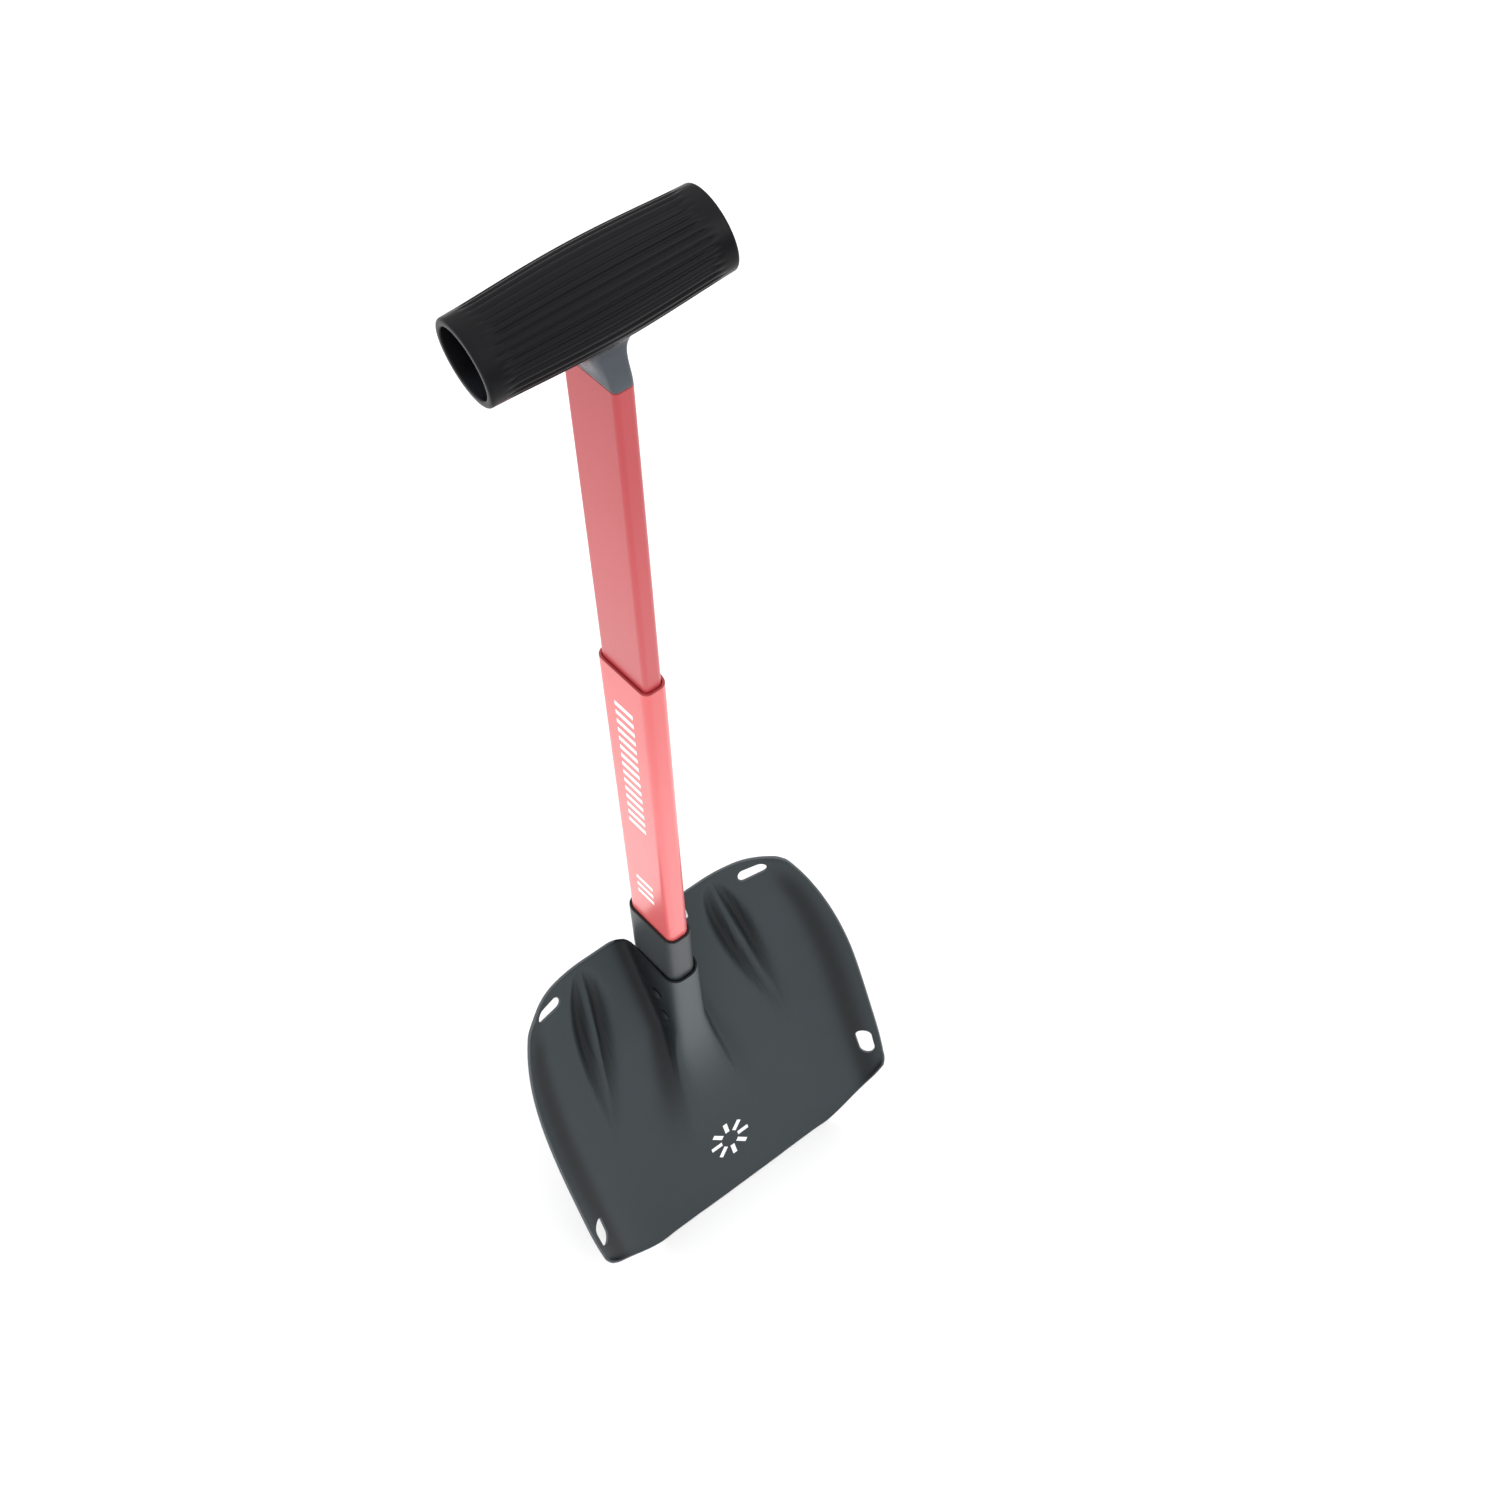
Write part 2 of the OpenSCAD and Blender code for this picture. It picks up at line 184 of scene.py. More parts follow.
def meshFrom(name, points, faces):
    mesh = bpy.data.meshes.new(name)
    mesh.from_pydata([tuple(p) for p in points], [], [tuple(int(i) for i in f) for f in faces])
    mesh.validate()
    piece = bpy.data.objects.new(name, mesh)
    scene.collection.objects.link(piece)
    return piece


def gridFaces(rings, around, closed):
    # quads between rings of points, with the last ring joined to the first when closed
    ahead = [(i + 1) % rings for i in range(rings if closed else rings - 1)]
    return [(i * around + k, i * around + (k + 1) % around, j * around + (k + 1) % around, j * around + k)
            for i, j in enumerate(ahead) for k in range(around)]


def settle(piece):  # modifiers become plain mesh
    graph = bpy.context.evaluated_depsgraph_get()
    mesh = bpy.data.meshes.new_from_object(piece.evaluated_get(graph))
    piece.modifiers.clear()
    piece.data = mesh


def facesOut(piece):
    work = bmesh.new()
    work.from_mesh(piece.data)
    bmesh.ops.recalc_face_normals(work, faces=work.faces)
    work.to_mesh(piece.data)
    work.free()


def smooth(piece, angle=32, weighted=True):
    piece.data.shade_smooth()
    piece.data.set_sharp_from_angle(angle=math.radians(angle))
    if weighted:
        even = piece.modifiers.new("evenNormals", "WEIGHTED_NORMAL")
        even.keep_sharp = True
        even.weight = 60


def fromNode(node, name, width):
    # a copy of a frame node with its doubles merged, its flats made whole and its edges rounded
    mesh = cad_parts[node].data.copy()
    mesh.name = name
    mesh.materials.clear()
    work = bmesh.new()
    work.from_mesh(mesh)
    bmesh.ops.remove_doubles(work, verts=work.verts, dist=2e-6)
    bmesh.ops.dissolve_limit(work, angle_limit=math.radians(0.6), verts=work.verts, edges=work.edges)
    edges = [e for e in work.edges if len(e.link_faces) == 2 and e.calc_face_angle() > math.radians(38)]
    bmesh.ops.bevel(work, geom=edges, offset=width, segments=3, profile=0.5, affect="EDGES",
                    clamp_overlap=True)
    bmesh.ops.recalc_face_normals(work, faces=work.faces)
    work.to_mesh(mesh)
    work.free()
    for old in [a.name for a in mesh.attributes if a.name in ("custom_normal", "sharp_face")]:
        mesh.attributes.remove(mesh.attributes[old])
    piece = bpy.data.objects.new(name, mesh)
    scene.collection.objects.link(piece)
    smooth(piece)
    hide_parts(node)
    return piece


def putOn(piece, mat, body):
    piece.data.materials.clear()
    piece.data.materials.append(mat)
    if body:
        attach(piece, body)


# slate sheet with painted shade in its hollows and painted light on the tunnel's crown, a pale cut edge and
# a printed ring of bars
bladeLook = {"dark": (0.029, 0.037, 0.041, 1), "light": (0.038, 0.048, 0.053, 1),
             "crown": (0.095, 0.112, 0.115, 1), "paintedShade": (0.006, 0.007, 0.008, 1), "paintedShadeShare": 0.9,
             "rim": (0.1, 0.11, 0.12, 1), "rimShare": 0.8, "tunnelRim": (0.004, 0.004, 0.005, 1),
             "rough": 0.46, "metal": 0.2, "shine": 0.2, "ink": (0.86, 0.87, 0.88, 1),
             "tilt": math.radians(22.3), "markDown": 207, "markBars": 8, "markThick": 3.0,
             "markInner": 6.5, "markOuter": 14.6}


def paintBlade(spot):
    look = bladeLook
    grain = spot.noise(900, 2, 0.6)
    cloud = spot.noise(14, 3, 0.5)
    paintedShade = spot.layer("paintedShade")
    edge = spot.layer("edge")
    slate = cloud.blend(look["dark"], look["light"])
    # painted shade: the slate is darkened in the rib leaves, the valleys beside the tunnel and the foot of
    # each lip
    slate = paintedShade.ramp(0, 1, 0, look["paintedShadeShare"]).blend(slate, look["paintedShade"])
    # painted light: negative values lighten the tunnel's crown towards the crown colour
    slate = (paintedShade * -1).ramp(0, 1).blend(slate, look["crown"])
    slate = edge.ramp(0.2, 1, 0, look["rimShare"]).blend(slate, look["rim"])
    slate = edge.ramp(-0.2, -1, 0, 0.95).blend(slate, look["tunnelRim"])
    across = spot.axis("X") / mm
    down = (bladeTop - spot.axis("Z")) / (mm * math.cos(look["tilt"])) - look["markDown"]
    far = (across * across + down * down).maths("SQRT")
    turn = across.maths("ARCTAN2", down)
    bar = (turn.toNearest(2 * math.pi / look["markBars"]) * far).within(-1, look["markThick"] / 2)
    front = spot.make("ShaderNodeNewGeometry", None, None, "Normal").axis("Y").ramp(-0.3, -0.35)
    mark = bar * far.within(look["markInner"], look["markOuter"]) * front
    return {"Base Color": mark.blend(slate, look["ink"]),
            "Roughness": look["rough"] + 0.05 * cloud + 0.1 * mark,
            "Metallic": look["metal"] * (1 - mark),
            "Specular IOR Level": look["shine"],
            "Normal": grain.bump(0.12, 0.00006)}


# clear-coated red with painted shade, darker towards the top of each tube, and a dark cut end
tubeLook = {"rough": 0.42, "metal": 0.1, "shine": 0.2, "coatLow": 1.0, "coatHigh": 0.32, "coatRough": 0.25,
            "coatIor": 1.55, "fade": 170 * mm, "ink": (0.95, 0.93, 0.93, 1)}
upperLook = {"paintedShadeRed": (0.36, 0.025, 0.034, 1), "deep": (0.48, 0.05, 0.06, 1),
             "pale": (0.52, 0.065, 0.073, 1), "rim": (0.3, 0.02, 0.025, 1), "top": neckFoot, "ticks": None}
# the lower tube is the same anodised red as the upper, painted lighter as painted light
lowerLook = {"paintedShadeRed": (0.6, 0.07, 0.075, 1), "deep": (0.76, 0.12, 0.125, 1),
             "pale": (0.82, 0.15, 0.155, 1), "rim": (0.32, 0.02, 0.025, 1), "top": sleeveTop,
             "ticks": {"foot": collarTop, "step": 8.0, "thick": 3.6, "half": 6.5,
                       "rows": [(29, 51), (109, 227)]}}


def tickMask(spot, ticks):
    # rows of short ticks printed on the left wall, as a length scale
    up = (spot.axis("Z") - ticks["foot"]) / mm
    across = (spot.axis("Y") - shaftY) / mm
    first, second = (up.within(start, end) for start, end in ticks["rows"])
    leftWall = spot.make("ShaderNodeTexCoord", None, None, "Normal").axis("X").ramp(-0.7, -0.8)
    bar = up.toNearest(ticks["step"]).within(-1, ticks["thick"] / 2)
    return bar * across.within(-ticks["half"], ticks["half"]) * (first + second) * leftWall


def paintTube(look):
    def paint(spot):
        cloud = spot.noise(9, 2, 0.5, (1, 1, 0.3))
        grain = spot.noise(700, 2, 0.6, (1, 1, 0.08))
        height = spot.axis("Z")
        red = cloud.blend(look["deep"], look["pale"])
        # painted shade: the red darkens towards the top of each tube
        red = height.ramp(look["top"] - tubeLook["fade"], look["top"], 0, 0.55).blend(red, look["paintedShadeRed"])
        red = height.ramp(look["top"] - 1.0 * mm, look["top"] - 0.5 * mm).blend(red, look["rim"])
        if look["ticks"]:
            red = tickMask(spot, look["ticks"]).blend(red, tubeLook["ink"])
        return {"Base Color": red,
                "Roughness": tubeLook["rough"] + 0.06 * grain,
                "Metallic": tubeLook["metal"],
                "Specular IOR Level": tubeLook["shine"],
                "Coat Weight": height.ramp(collarTop, neckFoot, tubeLook["coatLow"], tubeLook["coatHigh"]),
                "Coat Roughness": tubeLook["coatRough"],
                "Coat IOR": tubeLook["coatIor"],
                "Normal": grain.bump(0.06, 0.00005)}
    return paint


# one tone with a fine grain, and another tone beyond a height where band is given
plainLook = {
    "collar": {"color": (0.06, 0.068, 0.072, 1), "rough": 0.4, "metal": 0.3,
               "band": {"start": collarTop - 1.2 * mm, "end": collarTop - 0.6 * mm,
                        "color": (0.004, 0.004, 0.005, 1), "rough": 0.5}},
    "grip": {"color": (0.005, 0.005, 0.0062, 1), "rough": 0.32, "shine": 0.12,
             "grainSize": 900, "grain": 0.3,
             "band": {"start": neckFoot + 27 * mm, "end": neckFoot + 12 * mm,
                      "color": (0.075, 0.084, 0.098, 1), "rough": 0.24}},
    "nylon": {"color": (0.04, 0.04, 0.042, 1), "rough": 0.5},
    "rivet": {"color": (0.022, 0.026, 0.029, 1), "rough": 0.5, "metal": 0.2, "shine": 0.2},
    "steel": {"color": (0.62, 0.62, 0.63, 1), "rough": 0.28, "metal": 1.0, "grainSize": 300, "grain": 0.06}}


def paintPlain(look):
    def paint(spot):
        speck = spot.noise(look.get("grainSize", 500), 3, 0.6)
        shade = tuple(c * 0.8 for c in look["color"][:3]) + (1,)
        tone = speck.blend(shade, look["color"])
        gloss = look["rough"] - 0.04 + 0.08 * speck
        if "band" in look:
            band = look["band"]
            share = spot.axis("Z").ramp(band["start"], band["end"])
            tone = share.blend(tone, band["color"])
            gloss = gloss + share * (band["rough"] - look["rough"])
        return {"Base Color": tone,
                "Roughness": gloss,
                "Metallic": look.get("metal", 0.0),
                "Specular IOR Level": look.get("shine", 0.5),
                "Normal": speck.bump(look.get("grain", 0.1), 0.00006)}
    return paint


bladeMat = newMaterial("slateAnodised", paintBlade)
upperMat = newMaterial("redAnodised", paintTube(upperLook))
# same anodised red as the upper tube, painted lighter as painted light
lowerMat = newMaterial("redAnodisedPaintedLighter", paintTube(lowerLook))
collarMat = newMaterial("blackAnodised", paintPlain(plainLook["collar"]))
gripMat = newMaterial("gripPlastic", paintPlain(plainLook["grip"]))
nylonMat = newMaterial("nylon", paintPlain(plainLook["nylon"]))
rivetMat = newMaterial("blackRivet", paintPlain(plainLook["rivet"]))
steelMat = newMaterial("brightSteel", paintPlain(plainLook["steel"]))


tube = {"depth": 32.6, "front": 10.6, "back": 16.0, "corner": 2.9, "arcSteps": 8, "rim": 0.34,
        "travel": 180 * mm, "buttonAhead": 2.4, "fitHole": 4.48, "clearHole": 4.7,
        "upperWall": (2.9, 1.4), "lowerWall": (4.7, 3.2), "collarWall": (6.5, 5.0)}
cornerY = tube["depth"] / 2 - tube["corner"]
cornerFront = tube["front"] / 2 - tube["corner"]
cornerBack = tube["back"] / 2 - tube["corner"]
sideAngle = math.atan((cornerBack - cornerFront) / (2 * cornerY))
sideWay = Vector((math.cos(sideAngle), -math.sin(sideAngle), 0))  # straight out of the right wall


def sectionRing(r):
    # points in mm round the trapezoid section with corner radius r
    lean = math.degrees(sideAngle)
    corners = [(cornerFront, -cornerY, -90, -lean), (cornerBack, cornerY, -lean, 90),
               (-cornerBack, cornerY, 90, 180 + lean), (-cornerFront, -cornerY, 180 + lean, 270)]
    ring = []
    for x, y, start, end in corners:
        for i in range(tube["arcSteps"] + 1):
            turn = math.radians(start + (end - start) * i / tube["arcSteps"])
            ring.append((x + r * math.cos(turn), y + r * math.sin(turn)))
    return ring


def tubePiece(name, wall, foot, top):
    outer, inner = wall
    rim = tube["rim"]
    arc = [(rim * (1 - math.cos(t)), rim * (1 - math.sin(t))) for t in np.radians([0, 30, 60, 90])]
    profile = [(outer - a, top / mm - b) for a, b in arc]
    profile += [(inner + a, top / mm - b) for a, b in reversed(arc)]
    profile += [(inner + a, foot / mm + b) for a, b in arc]
    profile += [(outer - a, foot / mm + b) for a, b in reversed(arc)]
    rings = [[(x * mm, shaftY + y * mm, z * mm) for x, y in sectionRing(r)] for r, z in profile]
    piece = meshFrom(name, [p for ring in rings for p in ring], gridFaces(len(rings), len(rings[0]), True))
    facesOut(piece)
    return piece


def buttonHole(piece, radius, z):
    # a round hole through the right wall, with its edges softened
    y = -tube["buttonAhead"]
    reach = cornerFront + (cornerBack - cornerFront) * (y + cornerY) / (2 * cornerY)
    start = Vector((reach * mm, shaftY + y * mm, z))
    depth = 20 * mm
    bpy.ops.mesh.primitive_cylinder_add(vertices=48, radius=radius * mm, depth=depth,
                                        location=start + sideWay * depth / 2)
    cutter = bpy.context.object
    cutter.rotation_euler = sideWay.to_track_quat("Z", "Y").to_euler()
    bpy.context.view_layer.update()
    cut = piece.modifiers.new("hole", "BOOLEAN")
    cut.operation = "DIFFERENCE"
    cut.object = cutter
    cut.solver = "EXACT"
    settle(piece)
    bpy.data.objects.remove(cutter)
    work = bmesh.new()
    work.from_mesh(piece.data)
    rim = []
    for edge in work.edges:
        gaps = [v.co - start for v in edge.verts]
        off = max(abs((gap - sideWay * gap.dot(sideWay)).length - radius * mm) for gap in gaps)
        if off < 0.02 * mm and len(edge.link_faces) == 2 and edge.calc_face_angle() > math.radians(50):
            rim.append(edge)
    bmesh.ops.bevel(work, geom=rim, offset=0.22 * mm, segments=2, profile=0.5, affect="EDGES")
    work.to_mesh(piece.data)
    work.free()


tubePieces = [
    ("lowerTube", "lower_shaft", "lowerWall", lowerMat, "lower_tube", "tube",
     [("fitHole", bladeLockZ), ("clearHole", lengthLockZ), ("clearHole", lengthLockZ - tube["travel"])]),
    ("upperTube", "upper_shaft", "upperWall", upperMat, "upper_tube", "tube", [("fitHole", lengthLockZ)]),
    ("collar", "blade_socket", "collarWall", collarMat, "blade_head", "socket",
     [("clearHole", bladeLockZ)])]
for name, node, wall, mat, body, slot, holes in tubePieces:
    piece = tubePiece(name, tube[wall], low(node).z, high(node).z)
    for size, z in holes:
        buttonHole(piece, tube[size], z)
    smooth(piece)
    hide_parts(node)
    putOn(piece, mat, body)
print("tubes done")


blade = {"length": 252, "tilt": math.radians(22.3), "sheet": 1.8, "half": 114, "lip": 25, "ribDepth": 7,
         "backY": 22.7, "tunnelOut": 6.65, "humpEdge": 1.12, "wingStart": 19.6,
         "humpStep": 1.4, "wingStep": 2.4, "rowStep": 2.3, "rimSteps": 5,
         "frontSoft": 0.1, "backSoft": 0.28,  # rounding of the rib's crest
         # middle across, middle down, length, width and turn of each slot
         "slots": [(74.7, 13.8, 18.4, 7.8, math.radians(-4)), (106.2, 188.5, 21.0, 10.0, math.radians(90))]}
# half section of the tunnel from its crown outwards: place and height as shares
humpU = np.array([0, 0.15, 0.32, 0.5, 0.62, 0.66, 0.69, 0.73, 0.77, 0.825, 0.93, 1.12])
humpF = np.array([1, 1, 0.985, 0.93, 0.84, 0.72, 0.55, 0.36, 0.18, 0.07, 0.015, 0])


def evenCurve(xs, ys):
    # a smooth curve through points that never overshoots them
    steps = np.diff(xs)
    slopes = np.diff(ys) / steps
    lean = np.zeros(len(xs))
    for i in range(1, len(xs) - 1):
        if slopes[i - 1] * slopes[i] > 0:
            a = 2 * steps[i] + steps[i - 1]
            b = steps[i] + 2 * steps[i - 1]
            lean[i] = (a + b) / (a / slopes[i - 1] + b / slopes[i])

    def curve(x):
        i = np.clip(np.searchsorted(xs, x, side="right") - 1, 0, len(xs) - 2)
        t = (x - xs[i]) / steps[i]
        return ((1 + 2 * t) * (1 - t) ** 2 * ys[i] + t * (1 - t) ** 2 * steps[i] * lean[i]
                + t * t * (3 - 2 * t) * ys[i + 1] - t * t * (1 - t) * steps[i] * lean[i + 1])
    return curve


humpShape = evenCurve(humpU, humpF)


def ease(a, b, x):
    t = np.clip((x - a) / (b - a), 0, 1)
    return t * t * (3 - 2 * t)


# the sheet: u across and s down the slope, in mm; a and b are shares of the half width and of the length

def humpHalf(s):
    return 17.5 + 0.165 * np.maximum(0, s - 80)


def humpHeight(s):
    crown = (blade["backY"] + cornerY + blade["tunnelOut"] + blade["sheet"]) / math.cos(blade["tilt"])
    tongue = 3.5 * (1 - ease(120, 205, s))
    lift = crown - s * math.tan(blade["tilt"]) - tongue
    return tongue + (lift + np.sqrt(lift * lift + 60)) / 2


def halfWidth(b):
    return (blade["half"] - 23.8 * (1 - np.minimum(b / 0.75, 1)) ** 3.6
            - 2.4 * np.maximum(0, (b - 0.8) / 0.2) ** 2
            - 3 * np.maximum(0, (b - 0.96) / 0.04) ** 2 - 3 * np.maximum(0, (0.05 - b) / 0.05) ** 2)


def topEdge(u):
    a = u / halfWidth(0)
    return 4.5 * (1 - ease(11, 25, u)) + ease(0.5, 0.75, a) + 3.3 * np.maximum(0, (a - 0.72) / 0.28) ** 2


def bottomEdge(u):
    a = u / halfWidth(1)
    return (blade["length"] - 41 * np.maximum(0, (a - 0.595) / 0.405) ** 1.9
            - 3 * np.maximum(0, (a - 0.93) / 0.07) ** 2)


def leaf(u, s, soft):
    # share of the full depth of the pressed leaf beside each rib; soft rounds the crest
    half = np.where((s > 3) & (s < 152), 15 * np.sin(math.pi * np.clip((s - 3) / 149, 0, 1) ** 0.62), 0)
    r = (u - 47 - 22.5 * (np.maximum(s, 0) / 145) ** 1.15) / np.maximum(half, 0.5)
    q = (np.sqrt(r * r + soft) - math.sqrt(soft)) / (math.sqrt(1 + soft) - math.sqrt(soft))
    return np.where(q < 1, (half / 15) ** 1.5 * 6.75 * q * (1 - q) ** 2, 0)


def bladeSpot(col, row, soft=blade["frontSoft"]):
    # col runs 0-1 over the tunnel and 1-2 over the wing, negative to the left; row runs 0-1 down
    side = np.where(col < 0, -1.0, 1.0)
    col = np.abs(col)
    onHump = col <= 1
    hump = np.minimum(col, 1) * blade["humpEdge"]
    wing = np.maximum(col - 1, 0)
    rise = humpShape(hump)

    def wingPlace(inner, b):
        return inner + (halfWidth(b) - inner) * wing

    firstU = np.where(onHump, 17.5 * hump, wingPlace(blade["wingStart"], 0))
    start = topEdge(firstU) + 0.41 * rise * humpHeight(24 * rise)
    lastU = wingPlace(blade["humpEdge"] * humpHalf(blade["length"]), 1)
    end = np.where(onHump, blade["length"], bottomEdge(lastU))
    s = start + (end - start) * row
    u = np.where(onHump, humpHalf(s) * hump, wingPlace(blade["humpEdge"] * humpHalf(s), row))
    lip = ((0.63 + 0.37 * ease(0, 0.5, row)) * blade["lip"]
           * np.maximum(0, (u / halfWidth(row) - 0.5) / 0.5) ** 2.6)
    g = np.where(onHump, rise * humpHeight(s), 0) - blade["ribDepth"] * leaf(u, s, soft) + lip
    cos = math.cos(blade["tilt"])
    sin = math.sin(blade["tilt"])
    return np.stack([side * u * mm, shaftY + (blade["backY"] - s * sin - g * cos) * mm,
                     bladeTop + (g * sin - s * cos) * mm], -1)


def downSlope(points):
    # s of points on the sheet
    drop = (bladeTop - points[..., 2]) / mm
    away = (points[..., 1] - shaftY) / mm - blade["backY"]
    return drop * math.cos(blade["tilt"]) - away * math.sin(blade["tilt"])


def bladeNormal(col, row, soft=blade["frontSoft"]):
    step = 0.002
    across = bladeSpot(col + step, row, soft) - bladeSpot(col - step, row, soft)
    down = bladeSpot(col, np.minimum(row + step, 1), soft) - bladeSpot(col, np.maximum(row - step, 0), soft)
    normal = np.cross(down, across)
    return normal / np.linalg.norm(normal, axis=-1, keepdims=True)


def evenCols(start, end, row, step):
    # column places from start to end with even steps along the surface
    fine = np.linspace(start, end, 400)
    line = bladeSpot(fine, np.full(400, row))
    length = np.concatenate([[0], np.cumsum(np.linalg.norm(np.diff(line, axis=0), axis=1))]) / mm
    count = max(2, int(length[-1] / step))
    return np.interp(np.linspace(0, length[-1], count + 1), length, fine)


def obround(length, width, points=14):
    arc = np.linspace(-math.pi / 2, math.pi / 2, points)
    reach = (length - width) / 2
    x = np.concatenate([np.cos(arc) * width / 2 + reach, -np.cos(arc) * width / 2 - reach])
    y = np.concatenate([np.sin(arc), np.sin(arc[::-1])]) * width / 2
    return x, y


def slotOutline(u, s, length, width, turn):
    # an obround on the wing as (col, row) places; turn is its long side's angle from straight across
    def surface(place):
        return bladeSpot(np.array([place[0]]), np.array([place[1]]))[0]

    def sheetPlace(place):
        point = surface(place)
        return np.array([point[0] / mm, downSlope(point)])

    step = 1e-3
    place = np.array([1.5, 0.5])
    for _ in range(12):
        slope = np.stack([(sheetPlace(place + [step, 0]) - sheetPlace(place)) / step,
                          (sheetPlace(place + [0, step]) - sheetPlace(place)) / step], 1)
        place = place + np.clip(np.linalg.solve(slope, [u, s] - sheetPlace(place)), -0.2, 0.2)
    here = surface(place)
    alongCol = (surface(place + [step, 0]) - here) / step / mm
    alongRow = (surface(place + [0, step]) - here) / step / mm
    across = alongCol - alongRow * slope[1, 0] / slope[1, 1]
    across = across / np.linalg.norm(across)
    down = alongRow - across * alongRow.dot(across)
    down = down / np.linalg.norm(down)
    fit = np.array([[alongCol.dot(across), alongRow.dot(across)], [alongCol.dot(down), alongRow.dot(down)]])
    x, y = obround(length, width)
    cos = math.cos(turn)
    sin = math.sin(turn)
    return (place[:, None] + np.linalg.solve(fit, np.stack([x * cos - y * sin, x * sin + y * cos]))).T


def insideLoop(points, loop):
    x = points[:, 0]
    y = points[:, 1]
    inside = np.zeros(len(points), bool)
    for (x0, y0), (x1, y1) in zip(loop, np.roll(loop, -1, axis=0)):
        crosses = (y0 > y) != (y1 > y)
        with np.errstate(divide="ignore", invalid="ignore"):
            inside ^= crosses & (x < (x1 - x0) * (y - y0) / (y1 - y0) + x0)
    return inside


def borderLoops(faces):
    # the border of a patch of faces, as closed loops of point numbers
    edges = {(a, b) for f in faces for a, b in zip(f, f[1:] + f[:1])}
    follow = {a: b for a, b in edges if (b, a) not in edges}
    left = set(follow)
    loops = []
    while left:
        loop = [min(left)]
        while follow[loop[-1]] != loop[0]:
            loop.append(follow[loop[-1]])
        left -= set(loop)
        loops.append(loop)
    return loops


def cutSlot(slot, cols, rows, quads, places):
    # takes the quads round a slot out of the net and gives triangles that fill up to its rim
    u, s, length, width, turn = slot
    colCount = len(cols)
    rowCount = len(rows)
    rings = []
    for grow in (0, 1.5, 3.2):
        ring = np.clip(slotOutline(u, s, length + 2 * grow, width + 2 * grow, turn), [0, 0], [2, 1])
        rings.append(np.stack([np.interp(ring[:, 0], cols, np.arange(colCount)),
                               np.interp(ring[:, 1], rows, np.arange(rowCount))], -1))
    inner, middle, outer = rings  # in cell units, so that the net stays even
    corners = np.array([(j, i) for i in range(rowCount) for j in range(colCount)], float)
    near = insideLoop(corners, outer).reshape(rowCount, colCount)
    gone = [key for key in quads if near[key[0]:key[0] + 2, key[1]:key[1] + 2].any()]
    border = borderLoops([quads.pop(key) for key in gone])[0]
    spots = [(k % colCount, k // colCount) for k in border]
    first = len(places)
    for c, r in np.concatenate([inner, middle]):
        col = np.interp(c, np.arange(colCount), cols)
        row = np.interp(r, np.arange(rowCount), rows)
        places.append((col, row))
    names = border + list(range(first, len(places)))
    lines = []
    start = 0
    for size in (len(border), len(inner), len(middle)):
        lines += [(start + k, start + (k + 1) % size) for k in range(size)]
        start += size
    plane = [Vector(p) for ring in (spots, inner, middle) for p in ring]
    verts, _, tris, origin, _, _ = delaunay_2d_cdt(plane, lines, [], 0, 1e-5)
    middles = np.array([sum((verts[k] for k in t), Vector((0, 0))) / 3 for t in tris])
    keep = insideLoop(middles, np.array(spots, float)) & ~insideLoop(middles, inner)
    return [tuple(names[origin[k][0]] for k in t) for t, kept in zip(tris, keep) if kept]


def halfNet():
    # places and faces of the right half of the sheet, slots cut
    cols = np.concatenate([evenCols(0, 1, 0.15, blade["humpStep"])[:-1],
                           evenCols(1, 2, 0.6, blade["wingStep"])])
    rows = np.linspace(0, 1, int(blade["length"] / blade["rowStep"]) + 1)
    count = len(cols)
    places = [(c, r) for r in rows for c in cols]
    quads = {(i, j): (i * count + j, i * count + j + 1, (i + 1) * count + j + 1, (i + 1) * count + j)
             for i in range(len(rows) - 1) for j in range(count - 1)}
    filled = []
    for slot in blade["slots"]:
        filled += cutSlot(slot, cols, rows, quads, places)
    faces = list(quads.values()) + filled
    used = sorted({k for f in faces for k in f})
    number = {k: i for i, k in enumerate(used)}
    return np.array(places)[used], [tuple(number[k] for k in f) for f in faces]


def mirrored(half, faces):
    # both halves of the sheet; the middle column is shared
    shared = half[:, 0] < 1e-9
    other = np.where(shared, np.arange(len(half)), np.cumsum(~shared) - 1 + len(half))
    net = np.concatenate([half, half[~shared] * [-1, 1]])
    turned = [tuple(int(other[k]) for k in f) for f in faces]
    return net, [tuple(reversed(f)) for f in faces] + turned


def paintShares(piece, points, rimStart):
    # values that the paint reads: painted shade in the sheet's hollows, with negative values for painted
    # light on the tunnel's crown, and where its cut edge runs
    u = np.abs(points[:, 0]) / mm
    s = downSlope(points)
    foot = 1.02 * humpHalf(s)
    valleyShadeWeight = np.where(points[:, 0] < 0, 1.0, 0.4)  # only the paint differs: painted shade, darker in the left valley than the right
    # painted shade along the valley on each side of the tunnel, fading out down the slope
    valley = np.exp(-((u / foot - 0.92) / (0.18 + 0.22 * valleyShadeWeight)) ** 2) * (1 - ease(90, 215, s)) * valleyShadeWeight
    # painted shade at the foot of each side lip
    lipFootShade = np.exp(-((u / halfWidth(np.clip(s / 230, 0.05, 0.8)) - 0.9) / 0.07) ** 2) * ease(5, 40, s)
    # painted light on the tunnel's crown, fading out down the slope
    tunnel = np.exp(-(u / foot / 0.62) ** 6) * (1 - ease(50, 190, s))
    paintedShade = np.clip(leaf(u, s, 0.06) * 0.95 + valley + 0.8 * lipFootShade, 0, 1) - tunnel
    edge = np.where(u < 21, -1, 1) * np.where(s > 200, 0.7, 1)
    edge[:rimStart] = 0
    for name, values in (("paintedShade", paintedShade), ("edge", edge)):
        layer = piece.data.attributes.new(name, "FLOAT", "POINT")
        layer.data.foreach_set("value", values.astype(np.float32))


